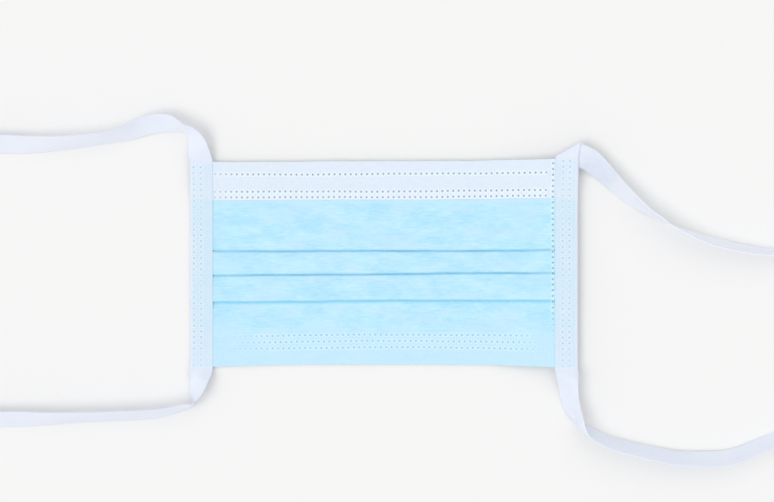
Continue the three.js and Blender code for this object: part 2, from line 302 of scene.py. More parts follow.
def clothMaterial(name, look):
    # a non-woven sheet: fibre mottling, then each further colour mixed over the last by its
    # mask and share. The piece's attributes say where it is paler or deeper, partly as painted light and
    # shade, and has weld dots
    material = bpy.data.materials.new(name)
    material.use_nodes = True
    board = Board(material.node_tree)
    shader = material.node_tree.nodes["Principled BSDF"]
    place = board.put("ShaderNodeUVMap", uv_map="cloth").outputs["UV"]
    tone, pale = (board.put("ShaderNodeAttribute", attribute_name=key).outputs["Fac"]
                  for key in ("tone", "pale"))
    weld = board.put("ShaderNodeAttribute", attribute_name="weld").outputs["Vector"]
    web = board.group(fibreGroup, Vector=place).outputs
    bonds = board.group(bondGroup, Vector=place, Pitch=look["bondPitch"], Size=look["bondSize"])
    dots = board.group(weldGroup, Vector=weld, Radius=look["dotRadius"], Softness=look["dotSoftness"])

    patches = board.maths("MULTIPLY_ADD", web["Streaks"], look["streakShare"],
                          board.maths("MULTIPLY", web["Cloud"], 1.0 - look["streakShare"]))
    colour = board.mixed(patches, linear(*look["thin"]), linear(*look["thick"]))
    grain = board.maths("MULTIPLY_ADD", bonds.outputs["Point"], look["toneGrain"], 1.0 - look["toneGrain"])
    masks = {
        "tint": web["Tint"],
        # pale: painted light where the ties stand up, and the outer layer's own paler hem and band edge
        "pale": pale,
        # tone: painted shade at the outer layer's fold lips, and blue showing through elsewhere
        "tone": board.maths("MULTIPLY", tone, grain),
        "fibre": web["Fibres"],
        "bond": bonds.outputs["Point"],
        "rim": dots.outputs["Rim"],
        "dot": dots.outputs["Dot"],
    }
    for key, mask in masks.items():
        *screenColour, share = look[key]
        colour = board.mixed(board.maths("MULTIPLY", mask, share), colour, linear(*screenColour))
    board.wire(colour, shader.inputs["Base Color"])

    rough = board.maths("MULTIPLY_ADD", masks["dot"], cloth["dotPolish"], look["roughness"])
    rough = board.maths("MULTIPLY_ADD", patches, cloth["patchRoughness"], rough)
    board.wire(rough, shader.inputs["Roughness"])

    relief = 0.0
    for mask, rise in ((patches, look["patchRelief"]), (masks["fibre"], look["fibreRelief"]),
                       (masks["bond"], -look["bondRelief"]), (masks["dot"], -look["dotRelief"]),
                       (masks["rim"], cloth["rimRelief"] * look["dotRelief"])):
        relief = board.maths("MULTIPLY_ADD", mask, rise, relief)
    bump = board.put("ShaderNodeBump")
    bump.inputs["Strength"].default_value = look["bumpStrength"]
    bump.inputs["Distance"].default_value = 1.0 * mm
    board.wire(relief, bump.inputs["Height"])
    board.wire(bump.outputs["Normal"], shader.inputs["Normal"])
    shader.inputs["Sheen Weight"].default_value = look["sheen"]
    shader.inputs["Sheen Roughness"].default_value = cloth["sheenRoughness"]
    shader.inputs["Specular IOR Level"].default_value = look["gloss"]
    return material


def outwards(points, quads):
    # the faces turned so that the volume they enclose, summed as cone volumes, is positive
    a, b, c, d = (points[quads[:, k]] for k in range(4))
    volume = (np.cross(a, b) * c).sum() + (np.cross(a, c) * d).sum()
    return quads if volume > 0 else quads[:, ::-1]


def ringMesh(name, node, rings, uv, attributes, material):
    # rings is (stations, outline, 3) in mm; walls join neighbouring rings, and each end is
    # closed by quads between the two facing halves of its outline. It takes the node's place
    stations, size = rings.shape[:2]
    points = rings.reshape(-1, 3) * mm
    i, k = np.meshgrid(np.arange(stations - 1), np.arange(size), indexing="ij")
    following = (k + 1) % size
    near, far = i * size, (i + 1) * size
    walls = np.stack([near + k, near + following, far + following, far + k], -1)
    first = np.arange(size // 2 - 1)
    cap = np.stack([first, size - 1 - first, size - 2 - first, first + 1], -1)
    quads = np.concatenate([walls.reshape(-1, 4), cap, cap[:, ::-1] + (stations - 1) * size])
    quads = outwards(points, quads)

    mesh = bpy.data.meshes.new(name)
    mesh.vertices.add(len(points))
    mesh.vertices.foreach_set("co", points.ravel())
    mesh.loops.add(quads.size)
    mesh.loops.foreach_set("vertex_index", quads.ravel())
    mesh.polygons.add(len(quads))
    mesh.polygons.foreach_set("loop_start", np.arange(0, quads.size, 4))
    mesh.update(calc_edges=True)
    layer = mesh.uv_layers.new(name="cloth")
    layer.data.foreach_set("uv", (uv.reshape(-1, 2) * mm)[quads.ravel()].ravel())
    for label, values in attributes.items():
        kind, key = ("FLOAT_VECTOR", "vector") if values.ndim == 3 else ("FLOAT", "value")
        entry = mesh.attributes.new(label, kind, "POINT")
        entry.data.foreach_set(key, values.astype(np.float32).ravel())
    mesh.shade_smooth()
    mesh.set_sharp_from_angle(angle=math.radians(cloth["sharpAngle"]))
    mesh.materials.append(material)
    piece = placed(name, mesh)
    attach(piece, "root")
    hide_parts(node)
    return piece


# where the mask is, and what every piece of it has to fit
body = {
    "width": 178.0,
    "bindingWidth": 10.5,
    "columnX": 78.0,  # the x of the outer columns in crossLines
    "crossLines": {  # y at x = -columnX, 0 and +columnX
        "top": (46.9, 47.1, 47.9),
        "firstFold": (6.1, 6.1, 6.4),
        "secondFold": (-5.3, -4.5, -3.9),
        "thirdFold": (-17.8, -17.0, -16.9),
        "bottom": (-47.6, -46.4, -47.6),
    },
    "lineWaves": [(0.10, 0.011, 0.05, 0.4), (0.05, 0.037, 0.02, 2.0)],
    "lineCalm": 15.0,  # how far in from the mask's sides the waves come to rest
    "cornerLift": 1.15,  # the top right corner lies on its turned-over tie
    "cornerRun": (-12.0, -0.6),  # where it starts to rise and is up, from that tie's edge
    "creaseAngle": 30.0,  # of that tie's crease, in degrees, and where the crease starts
    "creaseStart": (78.5, 49.4),
    "legLift": 0.42,  # the layers over the bindings' back legs
}
edgeLifts = {  # the mask curls up a little at its edges: rise, where it starts, where it ends
    "top": (2.0, 22.0, 47.0),
    "right": (4.2, 42.0, 89.0),
    "left": (0.3, -60.0, -89.0),
    "bottom": (0.4, -36.0, -47.0),
}
halfWidth = body["width"] / 2
innerEdge = halfWidth - body["bindingWidth"]


def crossLineY(name, x):
    # the parabola through the line's three columns
    left, middle, right = body["crossLines"][name]
    t = x / body["columnX"]
    return middle + (right - left) / 2 * t + ((right + left) / 2 - middle) * t * t


def warpY(x, y):
    # a nominal y, as at x = 0, moved in proportion between the cross lines at x
    names = list(body["crossLines"])
    nominal = [body["crossLines"][name][1] for name in names]
    moved = crossLineY(names[0], x) + np.maximum(y - nominal[0], 0.0)
    for k in range(len(names) - 1):
        share = np.clip((nominal[k] - y) / (nominal[k] - nominal[k + 1]), 0.0, 1.0)
        moved = moved + share * (crossLineY(names[k + 1], x) - crossLineY(names[k], x))
    moved = moved - np.maximum(nominal[-1] - y, 0.0)
    quiet = smoothstep(halfWidth, halfWidth - body["lineCalm"], np.abs(x))
    return moved + quiet * waves(x, y, body["lineWaves"])


def cornerLift(x, y):
    # rises towards the edge of the tie that lies under the corner
    angle = math.radians(2 * body["creaseAngle"] - 90.0)
    startX, startY = body["creaseStart"]
    s = -(x - startX) * math.sin(angle) + (y - startY) * math.cos(angle)
    return body["cornerLift"] * smoothstep(*body["cornerRun"], s)


def curlLift(x, y):
    # each edge's rise, eased in from where it starts, added together
    total = 0.0
    for name, (rise, start, end) in edgeLifts.items():
        total = total + rise * smoothstep(start, end, y if name in ("top", "bottom") else x)
    return total


def sharedLift(x, y):
    # what lifts every piece of the mask itself
    return cornerLift(x, y) + curlLift(x, y)


# the ties: routes as rows of centre x, centre y and roll, in mm and degrees.
# Roll 0 lies flat, and a positive roll lifts the edge on the left of the run
tieRoutes = {
    "tieTopLeft": [
        (-83.75, 47.22, 0), (-84.9, 52.4, -21), (-85.9, 56.2, -38), (-87.4, 59.3, -58),
        (-89.2, 61.1, -69), (-91.9, 62.2, -71), (-95.4, 63.4, -55), (-99.1, 64.4, -43),
        (-103.7, 64.4, -39), (-110.2, 62.9, -39), (-116.6, 60.2, -51), (-121.2, 58.8, -60),
        (-128.9, 57.2, -65), (-134.2, 56.6, -63), (-143, 55.6, -60), (-151.7, 55, -54),
        (-162.3, 54.6, -45), (-170.9, 54.8, -41), (-178, 55, -38), (-185, 55.2, -37),
    ],
    "tieBottomLeft": [
        (-83.75, -48.26, 0), (-84.2, -52.4, 28), (-85.1, -56.1, 43), (-86.2, -59.8, 58),
        (-87.7, -62.8, 76), (-90.2, -65, 103), (-95.2, -66.7, 112), (-101.7, -68.3, 116),
        (-108.1, -69, 118), (-114.5, -69.4, 118), (-121, -69.7, 119), (-127.4, -70, 118),
        (-133.9, -70.2, 119), (-140.3, -70.4, 120), (-146.7, -70.7, 123), (-153.2, -71, 127),
        (-159.6, -71.1, 130), (-166.1, -71.2, 135), (-175, -71.3, 137), (-185, -71, 140),
    ],
    "tieBottomRight": [
        (83.75, -48.26, 0), (84.3, -53.3, 33), (85, -59.2, 42), (86.3, -65.3, 50),
        (88.1, -69.5, 60), (89.9, -72.4, 74), (92, -74.9, 92), (94.6, -77.2, 108),
        (98.5, -79.6, 115), (103.3, -81.8, 118), (108.8, -83.6, 120), (118, -85.9, 121),
        (125.8, -87.6, 122), (133.6, -89, 123), (141.4, -89.5, 124), (149.4, -89.6, 126),
        (156.2, -89.2, 125), (163.2, -87.4, 122), (170, -84.5, 120), (179.6, -80.8, 122),
        (188, -77.6, 123),
    ],
    "tieTopRight": [  # from where it comes out from under the mask, already turned over
        (89.6, 49.5, 183), (94.3, 47.5, 198), (99, 43.8, 213), (103.5, 39.3, 228),
        (108.1, 34.7, 237), (112.7, 30.5, 244), (117.3, 26.6, 252), (121.9, 23.2, 260),
        (126.5, 20.6, 266), (131.1, 17.8, 275), (135.7, 15.7, 280), (140.3, 13.8, 285),
        (144.9, 12, 289), (149.5, 10.4, 292), (154.1, 9.2, 293), (161, 7.5, 293),
        (168, 6.4, 292), (175, 5.5, 289), (188, 4.6, 287),
    ],
}

tape = {
    "leaf": 0.2,  # thickness of one leaf of the folded tape
    "endHeight": 1.1,  # over both leaves where a binding becomes a tie
    "tieHeight": 0.55,  # over both leaves of a free tie
    "closing": 9.0,  # lengths over which the leaves come together,
    "cupping": 0.28,
    "squareRun": 6.0,  # a tie turns away from square to its binding,
    "landing": 16.0,  # comes down to the floor
    # the paleness is painted light, for the light that comes through an upright tie
    "paleRun": 8.0,  # and turns paler
    "endOverlap": 0.3,  # how far a binding's ends stand past the layers' edges
    "cupRun": (6.0, 22.0),  # where along a tie its cupping sets in
    "cupWave": 17.0,
    "twistRun": (0.9, 0.995),  # how upright a tie stands where its twist cups it
    "creaseLean": 6.0,  # degrees by which the top right tie leans to the right before its crease
    "creaseShift": 0.6,  # how far that moves its middle
    "creaseDrop": 1.6,  # how far below the crease it starts to turn
    "creaseRun": 8.0,  # its length up to the crease and round it
    "riseSamples": 7,
    "turnSamples": 13,
    "leafSamples": 23,
    "foldSamples": 7,
    "stationStep": 0.9,
    "fineSamples": 40,  # of a route, for each of its rows
}


def tapeOutline(height, leaf):
    # two leaves joined by a round fold at a = 0; a runs across the tape and b through it, from
    # 0 to each height. The outer face comes first and the inner one runs back, facing it
    height = np.asarray(height, float)[:, None]
    share = np.linspace(1.0, 0.0, tape["leafSamples"])[None, :]
    turn = np.linspace(0.0, np.pi, tape["foldSamples"])[None, 1:-1]
    halves = []
    for radius in (height / 2, height / 2 - leaf):
        straight = height / 2 + share * (body["bindingWidth"] - height / 2)
        a = np.concatenate([straight, height / 2 - radius * np.sin(turn), straight[:, ::-1]], 1)
        low = np.repeat(height / 2 - radius, share.shape[1], 1)
        b = np.concatenate([low, height / 2 - radius * np.cos(turn), 2 * (height / 2) - low], 1)
        halves.append((a, b))
    (outerA, outerB), (innerA, innerB) = halves
    return np.concatenate([outerA, innerA[:, ::-1]], 1), np.concatenate([outerB, innerB[:, ::-1]], 1)


def throughRows(rows, count):
    # Catmull-Rom curve through the rows: each sample blends the four rows about it
    rows = np.asarray(rows, float)
    padded = np.concatenate([2 * rows[:1] - rows[1:2], rows, 2 * rows[-1:] - rows[-2:-1]])
    t = np.linspace(0.0, len(rows) - 1, count)
    k = np.minimum(t.astype(int), len(rows) - 2)
    t = (t - k)[:, None]
    p0, p1, p2, p3 = (padded[k + j] for j in range(4))
    return 0.5 * (2 * p1 + (p2 - p0) * t + (2 * p0 - 5 * p1 + 4 * p2 - p3) * t**2
                  + (3 * p1 - p0 - 3 * p2 + p3) * t**3)


def evenly(rows, step):
    # the smooth curve again, with samples evenly spaced along its plan
    fine = throughRows(rows, tape["fineSamples"] * len(rows))
    along = np.concatenate([[0.0], np.cumsum(np.hypot(*np.diff(fine[:, :2], axis=0).T))])
    at = np.linspace(0.0, along[-1], int(along[-1] / step) + 2)
    return np.stack([np.interp(at, along, fine[:, k]) for k in range(fine.shape[1])], 1), at


def leafHeight(along):
    # the two leaves close up as the tape leaves the mask
    t = smoothstep(0.0, tape["closing"], along)
    return tape["endHeight"] + (tape["tieHeight"] - tape["endHeight"]) * t


def routeFrames(rows, start=0.0):
    # each section's centre, across and normal: across turns with the roll about the heading,
    # the first one square to the binding, and the centre's height rests the tape on the floor
    line, along = evenly(rows, tape["stationStep"])
    heading = unit(np.gradient(line[:, :2], axis=0))
    roll = np.radians(line[:, 2])
    height = leafHeight(along + start)
    across = np.stack([-heading[:, 1] * np.cos(roll), heading[:, 0] * np.cos(roll), np.sin(roll)], 1)
    if rows[0][2] == 0:
        squareOn = np.array([-np.sign(heading[0, 1]), 0.0, 0.0])
        across = squareOn + (across - squareOn) * smoothstep(0.0, tape["squareRun"], along)[:, None]
    heading = np.concatenate([heading, np.zeros((len(line), 1))], 1)
    rise = (body["bindingWidth"] * np.abs(np.sin(roll)) + height * np.abs(np.cos(roll))) / 2
    centre = np.concatenate([line[:, :2], rise[:, None]], 1)
    return centre, across, np.cross(heading, across), height, along + start


def creaseFrames():
    # a half turn of the tape about a crease that crosses it at an angle, with the sections
    # parallel to the crease's axis and skewed to the run
    angle = math.radians(body["creaseAngle"])
    lean = math.radians(tape["creaseLean"])
    height = tape["endHeight"]
    radius = body["cornerLift"] / 2
    axisZ = height / 2 + radius
    alongCrease = np.array([math.cos(angle), math.sin(angle), 0.0])
    outward = np.array([-math.sin(angle), math.cos(angle), 0.0])
    startX = halfWidth - body["bindingWidth"] / 2
    startY = crossLineY("top", halfWidth) + tape["endOverlap"]
    centreX = startX + tape["creaseShift"]
    creaseX, creaseY = body["creaseStart"]
    creaseY += (centreX - creaseX) * math.tan(angle) - tape["creaseDrop"]
    turn = np.linspace(0.0, np.pi, tape["turnSamples"])[:, None]
    wrap = (np.array([centreX, creaseY, axisZ]) + alongCrease * radius * turn * math.tan(angle + lean)
            + outward * radius * np.sin(turn) + np.array([0.0, 0.0, radius]) * np.cos(turn))
    wrapNormal = outward * np.sin(turn) + np.array([0.0, 0.0, 1.0]) * np.cos(turn)
    skewed = -alongCrease / math.cos(angle + lean)
    share = np.linspace(0.0, 1.0, tape["riseSamples"])[:-1, None]
    start = np.array([startX, startY, axisZ + radius])
    rise = start + (wrap[0] - start) * share
    square = np.array([-1.0, 0.0, 0.0])
    riseAcross = square + (skewed - square) * share
    centre = np.concatenate([rise, wrap])
    across = np.concatenate([riseAcross, np.repeat(skewed[None], len(turn), 0)])
    normal = np.concatenate([np.repeat([[0.0, 0.0, 1.0]], len(share), 0), wrapNormal])
    return centre, across, normal


def joinedFrames(first, rows):
    # from the crease to the route's first row: positions and sections blend over a short run
    centre, across, normal = first
    height = np.full(len(centre), tape["endHeight"])
    rest = routeFrames(rows)
    reach = np.linalg.norm(rest[0][0] - centre[-1])
    share = np.linspace(0.0, 1.0, int(reach / tape["stationStep"]) + 2)[1:-1, None]
    eased = smoothstep(0.0, 1.0, share)
    bridge = [a[-1] + (b[0] - a[-1]) * t
              for a, b, t in zip((centre, across, normal), rest, (share, eased, eased))]
    bridge[2] = unit(bridge[2])
    parts = [np.concatenate([a, b, c]) for a, b, c in zip((centre, across, normal), bridge, rest)]
    height = np.concatenate([height, np.full(len(share), tape["endHeight"]), rest[3]])
    return (*parts, height, alongLine(parts[0]))


def carryTape(centre, across, normal, height, foldSide, cup):
    # the outline placed at every section, along across and normal, arched over the width
    a, b = tapeOutline(height, tape["leaf"])
    width = body["bindingWidth"]
    side = foldSide * (width / 2 - a)
    out = b - height[:, None] / 2 + np.asarray(cup)[:, None] * (1.0 - (2 * side / width) ** 2)
    return centre[:, None] + side[..., None] * across[:, None] + out[..., None] * normal[:, None], a


tapeLook = {  # screen colours, and the share of each that is mixed over the ones before it
    "thin": (221, 230, 245),
    "thick": (231, 237, 248),
    "streakShare": 0.4,
    "tint": (222, 228, 248, 0.4),
    "pale": (232, 239, 249, 1.0),
    "tone": (184, 228, 245, 1.0),
    "toneGrain": 0.45,
    "fibre": (238, 243, 252, 0.22),
    "bond": (196, 218, 241, 0.5),
    "bondPitch": 0.95 * mm,
    "bondSize": 0.24,
    "rim": (238, 248, 254, 0.5),
    "dot": (172, 206, 226, 0.8),
    "dotRadius": 0.21,
    "dotSoftness": 0.13,
    "roughness": 0.78,
    "fibreRelief": 0.035,
    "patchRelief": 0.06,
    "bondRelief": 0.08,
    "dotRelief": 0.16,
    "bumpStrength": 0.5,
    "sheen": 0.03,
    "gloss": 0.15,
}
bindingMaterial = clothMaterial("bindingTapeCloth", tapeLook)
tieLook = {
    **tapeLook,
    # painted light: the paler colour where a tie stands up
    "pale": (240, 244, 254, 1.0),
    "bond": (196, 218, 241, 0.15),
    "bondRelief": 0.03,
}
tieMaterial = clothMaterial("tieTapeCloth", tieLook)

tieFacts = {  # node, fold side (1 is the left of its run), rise off the floor and where it starts and ends, cup where the tie stands on edge, how much painted light makes it paler there, and from where on
    # and ends, cup where the tie stands on edge, how much paler it is there, and from where on
    "tieTopLeft": ("tie_top_left", 1, (0.8, 6.0, 90.0), 0.0, 1.0, 0.0),
    "tieBottomLeft": ("tie_bottom_left", -1, (1.2, 1.0, 36.0), -2.0, 0.8, 0.0),
    "tieBottomRight": ("tie_bottom_right", 1, (1.3, 16.0, 118.0), 2.0, 0.45, 0.0),
    "tieTopRight": ("tie_top_right", -1, (1.2, 44.0, 112.0), 0.0, 1.0, 26.0),
}


def springing(along, rise, start, end):
    # up within the first third of the stretch and down again over the last third
    third = (end - start) / 3
    return rise * smoothstep(start, start + third, along) * smoothstep(end, end - third, along)


def makeTie(name):
    # the sections along its route carry the tape; its start is lifted with the mask's curled
    # edge and comes down to the floor further on
    node, foldSide, spring, twistCup, paintedLightShare, paleFrom = tieFacts[name]
    creased = name == "tieTopRight"
    frames = joinedFrames(creaseFrames(), tieRoutes[name]) if creased else routeFrames(tieRoutes[name])
    centre, across, normal, height, along = frames
    upright = np.abs(across[:, 2])
    cup = tape["cupping"] * smoothstep(*tape["cupRun"], along) * np.sin(along / tape["cupWave"] + len(name))
    cup += twistCup * smoothstep(*tape["twistRun"], upright)
    rings, a = carryTape(centre, across, normal, height, foldSide, cup)
    landed = tape["creaseRun"] if creased else 0.0
    share = 1.0 - smoothstep(landed, landed + tape["landing"], along)
    sprung = springing(along, *spring)
    lifted = share[:, None] * curlLift(rings[..., 0], rings[..., 1]) + sprung[:, None]
    rings[..., 2] = np.maximum(rings[..., 2], 0.0) + lifted
    centre[:, 2] += share * curlLift(centre[:, 0], centre[:, 1]) + sprung
    uv = np.stack([np.broadcast_to(along[:, None], a.shape), a], -1)
    # painted light: paler where it stands up, by the share of its width that is upright, standing in for
    # the light that comes through the cloth
    pale = paintedLightShare * upright * smoothstep(paleFrom, paleFrom + tape["paleRun"], along)
    attributes = {
        "tone": np.zeros(a.shape),
        "pale": np.broadcast_to(pale[:, None], a.shape),
        "weld": np.stack([np.zeros(a.shape), np.ones(a.shape), np.zeros(a.shape)], -1),
    }
    piece = ringMesh(name + "Tape", node, rings, uv, attributes, tieMaterial)


for tieName in tieRoutes:
    makeTie(tieName)
print("ties ready")

pleats = {  # the section's line is drawn once, midway between the two layers
    "outerThickness": 0.16,
    "innerThickness": 0.16,
    "layerGap": 0.05,
    "foldGap": 0.07,
    "depth": 9.4,  # of the first pleat; each of the others reaches up to the fold above it
    "tuckGap": 0.15,  # from a fold's lip to where the next pleat starts to rise under it
    # the strength of the painted shade at each fold's lip and in the crevice under it
    "lipShades": {"firstFold": 0.32, "secondFold": 0.4, "thirdFold": 0.82},
    "topRampRadius": 60.0,
    "bandWidth": 17.7,
    "hemWidth": 17.0,
    "hemRampRadius": 12.0,
    "hemStep": 4.0,  # how far above the hem the climb on to it starts
    "lineStep": 0.05,  # of the drawn line, before it is thinned out
    "straightStep": 3.4,
    "turnStep": 0.42,  # radians
    "leastStep": 0.12,
    "lipCuts": [-1.6, -0.9, -0.4, 0.4, 0.9, 1.6],  # further samples about each lip
    "rowCuts": [-1.3, -0.8, -0.4, 0.0, 0.4, 0.8, 1.3],  # and about each row of dots
    "levelSlope": 0.3,
    "lipRun": (1.0, 0.3),  # where a lip's painted shade sets in and is full, along the cloth
    "underRun": (1.6, 0.5),  # the same on the cloth below the lip
    "underStart": (-0.3, 0.1),
    "underSample": 0.9,
    "bandShade": 2.0,  # how far below the band the cloth is paler
    "hemPale": (0.75, -27.0, -36.0),  # how pale the hem is, and between which y it sets in
    "bandMargins": (0.6, 1.0),  # past the band's end, along the cloth and in y
    "sideHeight": 0.8,  # the stack's height at the bindings, as a share of its plain one
    "middleHeight": 1.2,  # and midway between them
}
weldRows = {  # rows of dots: y, phase of the dots in pitches, strength
    "pitch": 2.49,
    "top": [(41.15, 0.04, 1.0), (33.2, 0.13, 1.0), (30.6, 0.13, 1.0)],
    "bottom": [(-32.7, 0.5, 0.62), (-35.6, 0.0, 0.62), (-38.5, 0.5, 0.62)],
    "rowEnds": (-78.3, 75.2),
    "fades": {  # the least strength, and from where to where along x a group grows to its full one
        "top": (0.4, (-80.0, -66.0)),
        "bottom": (0.0, (-76.0, -48.0), (76.0, 58.0)),
    },
    "sideX": 77.5,  # the column at the right
    "sidePitch": 2.5,
    "sideReach": 0.55,
    "sideFade": (-38.0, -12.0),
    "pressWidth": 0.9,
    "pitchColumns": 4,  # columns of the layers' mesh to each pitch
    "sideColumns": [-0.9, -0.4, 0.0, 0.5],  # about the side column
    "endColumns": [78.9, 81.0, 84.5, 87.7],  # in the bindings
}


class Pen:
    # draws runs and arcs in the side view, as arrays of y and z

    def __init__(self, y, z, heading=math.pi):
        self.pieces = [np.array([[y, z]])]
        self.heading = heading

    @property
    def tip(self):
        return self.pieces[-1][-1]

    def run(self, length):
        t = np.linspace(0.0, length, max(2, int(length / pleats["lineStep"])))[1:, None]
        self.pieces.append(self.tip + t * np.array([math.cos(self.heading), math.sin(self.heading)]))
        return self

    def runTo(self, y):
        return self.run(abs(y - self.tip[0]))

    def arc(self, radius, turn):
        # positions on a circle about a centre one radius to the left (turn > 0) or the right
        count = max(8, int(radius * abs(turn) / pleats["lineStep"]))
        side = math.copysign(1.0, turn)
        centre = self.tip + side * radius * np.array([-math.sin(self.heading), math.cos(self.heading)])
        angles = self.heading + np.linspace(0.0, turn, count)[1:, None]
        self.pieces.append(centre + side * radius * np.concatenate([np.sin(angles), -np.cos(angles)], 1))
        self.heading += turn
        return self

    def ramp(self, radius, rise):
        turn = math.acos(1.0 - rise / (2.0 * radius))
        return self.arc(radius, -turn).arc(radius, turn)

    @property
    def line(self):
        return np.concatenate(self.pieces)


def sectionSizes():
    # sizes of the folded stack that follow from the sheets' thicknesses
    sandwich = pleats["outerThickness"] + pleats["layerGap"] + pleats["innerThickness"]
    sheet = pleats["outerThickness"]
    return {
        "low": sandwich / 2,
        "rank": sandwich + pleats["foldGap"],
        "bulge": sandwich + pleats["foldGap"] / 2,
        "ramp": sandwich * 1.5 + pleats["foldGap"] * 1.5,
        "offset": (sheet + pleats["layerGap"]) / 2,
        "wrap": sheet + pleats["layerGap"],
        "reach": sheet * 1.5 + pleats["layerGap"],
    }


sizes = sectionSizes()


def middleLine():
    # from the top edge down: climb on to the stack, fold under, tuck back, three times over,
    # then climb on to the hem
    lines = {name: row[1] for name, row in body["crossLines"].items()}
    climb = 2 * sizes["rank"]
    pen = Pen(lines["top"] - sizes["reach"], sizes["low"])
    lipAbove = None
    for name in pleats["lipShades"]:
        radius = pleats["topRampRadius"] if lipAbove is None else sizes["ramp"]
        rampLength = 2 * radius * math.sin(math.acos(1.0 - climb / (2 * radius)))
        if lipAbove is None:
            tuck = lines[name] + pleats["depth"] - sizes["bulge"]
        else:
            tuck = lipAbove - pleats["tuckGap"] - rampLength
        lipAbove = lines[name]
        pen.runTo(tuck + rampLength).ramp(radius, climb)
        pen.runTo(lines[name] + sizes["bulge"]).arc(sizes["rank"] / 2, math.pi)
        pen.runTo(tuck).arc(sizes["rank"] / 2, -math.pi)
    pen.runTo(lines["bottom"] + sizes["reach"] + pleats["hemWidth"] + pleats["hemStep"])
    pen.ramp(pleats["hemRampRadius"], sizes["wrap"])
    return pen.runTo(lines["bottom"] + sizes["reach"]).line


def lineNormals(line):
    # left-hand normals of the line, from central differences
    run = unit(np.gradient(line, axis=0))
    return np.stack([-run[:, 1], run[:, 0]], 1)


def lipPlaces(line):
    # the lengths along the line of its front folds, where it stops going down and turns back
    y = line[:, 0]
    turned = np.nonzero((y[1:-1] <= y[:-2]) & (y[1:-1] < y[2:]))[0] + 1
    hemTop = body["crossLines"]["bottom"][1] + pleats["hemWidth"]
    return alongLine(line)[turned[y[turned] > hemTop]]


def thinned(line, rowYs):
    # where to cut the drawn line: evenly in length plus turning, and close together at the
    # folds' lips and at the rows
    along = alongLine(line)
    run = np.gradient(line, axis=0)
    heading = np.unwrap(np.arctan2(run[:, 1], run[:, 0]))
    effort = along / pleats["straightStep"] + np.concatenate(
        [[0.0], np.cumsum(np.abs(np.diff(heading)))]) / pleats["turnStep"]
    cuts = [np.interp(np.linspace(0.0, effort[-1], int(effort[-1]) + 2), effort, along)]
    level = np.abs(np.sin(heading)) < pleats["levelSlope"]
    for lip in lipPlaces(line):
        cuts.append(lip + np.array(pleats["lipCuts"]))
    for rowY in rowYs:
        crossings = np.nonzero((np.diff(np.sign(line[:, 0] - rowY)) != 0) & level[:-1])[0]
        for crossing in along[crossings]:
            cuts.append(crossing + np.array(pleats["rowCuts"]))
    cuts = np.unique(np.clip(np.concatenate(cuts), 0.0, along[-1]).round(3))
    keep = np.concatenate([[True], np.diff(cuts) > pleats["leastStep"]])
    return cuts[keep], along


surface = {
    "topClimb": (12.0, -4.0),  # from the first pleat's top: where the stack climbs to its full height
    "lastClimb": (-4.0, 2.0),  # and the same from the last fold's lip
    "channelSwell": 0.55,  # the band's swell between its weld rows
    "channelEase": 3.0,
    "sideRun": (58.0, 79.0),  # where the stack narrows from its middle height to its side height
    "pressDepth": 0.6,  # how much of the stack's height a weld takes away
    "pressBetween": 0.45,  # how much of that is left between two dots
    "pressMiddle": 0.4,  # the height that a weld presses towards, as a share of the stack
    "waves": [(0.13, 0.021, 0.013, 0.6), (0.10, -0.034, 0.027, 2.4), (0.07, 0.058, 0.041, 4.0),
              (0.05, -0.083, 0.071, 1.1), (0.035, 0.127, -0.09, 3.1)],
    "sideCalm": 0.7,  # the share of the waves that the bindings take away
    "edgeLift": (0.6, 40.0, 47.0),  # of the top edge, and from where to where it rises
    "edgeCalm": (60.0, 80.0),
    "legRun": 5.0,
    "coverX": (0.2, 1.5),  # where the bindings cover the layers' ends, from their inner edges
    "coverY": (36.0, 46.0),
    "recede": 1.3,  # the layers' top and bottom edges stop short inside the bindings
}


def stackTop(y):
    # the plain height of the folded stack over each y: three sheets at the turned edges,
    # six in the pleats
    lines = body["crossLines"]
    pleatTop = lines["firstFold"][1] + pleats["depth"]
    lastLip = lines["thirdFold"][1]
    edge = pleats["outerThickness"] * 3 + pleats["layerGap"] * 2
    full = 3 * 2 * sizes["low"] + 2 * pleats["foldGap"]
    climbs = smoothstep(*(pleatTop + step for step in surface["topClimb"]), y)
    climbs *= smoothstep(*(lastLip + step for step in surface["lastClimb"]), y)
    return edge + (full - edge) * climbs


def weldField(x, y):
    # for each point the nearest row or column of dots: the place along it and the distance
    # from it, both in pitches, and the strength there
    pitch = weldRows["pitch"]
    start, end = weldRows["rowEnds"]
    best = np.full(np.broadcast(x, y).shape, np.inf)
    field = np.zeros((*best.shape, 3))
    for group in ("top", "bottom"):
        least, *runs = weldRows["fades"][group]
        fade = least + (1.0 - least) * np.prod([smoothstep(*run, x) for run in runs], 0)
        for rowY, phase, strength in weldRows[group]:
            away = np.abs(y - rowY) / pitch + (x < start) + (x > end)
            nearer = away < best
            best = np.where(nearer, away, best)
            values = np.stack(np.broadcast_arrays(x / pitch + phase, away, strength * fade), -1)
            field = np.where(nearer[..., None], values, field)
    away = np.abs(x - weldRows["sideX"]) / weldRows["sidePitch"]
    nearer = np.broadcast_to(away < weldRows["sideReach"], best.shape)
    down = smoothstep(*weldRows["sideFade"], y)
    values = np.stack(np.broadcast_arrays(y / weldRows["sidePitch"], away, down), -1)
    return np.where(nearer[..., None], values, field)


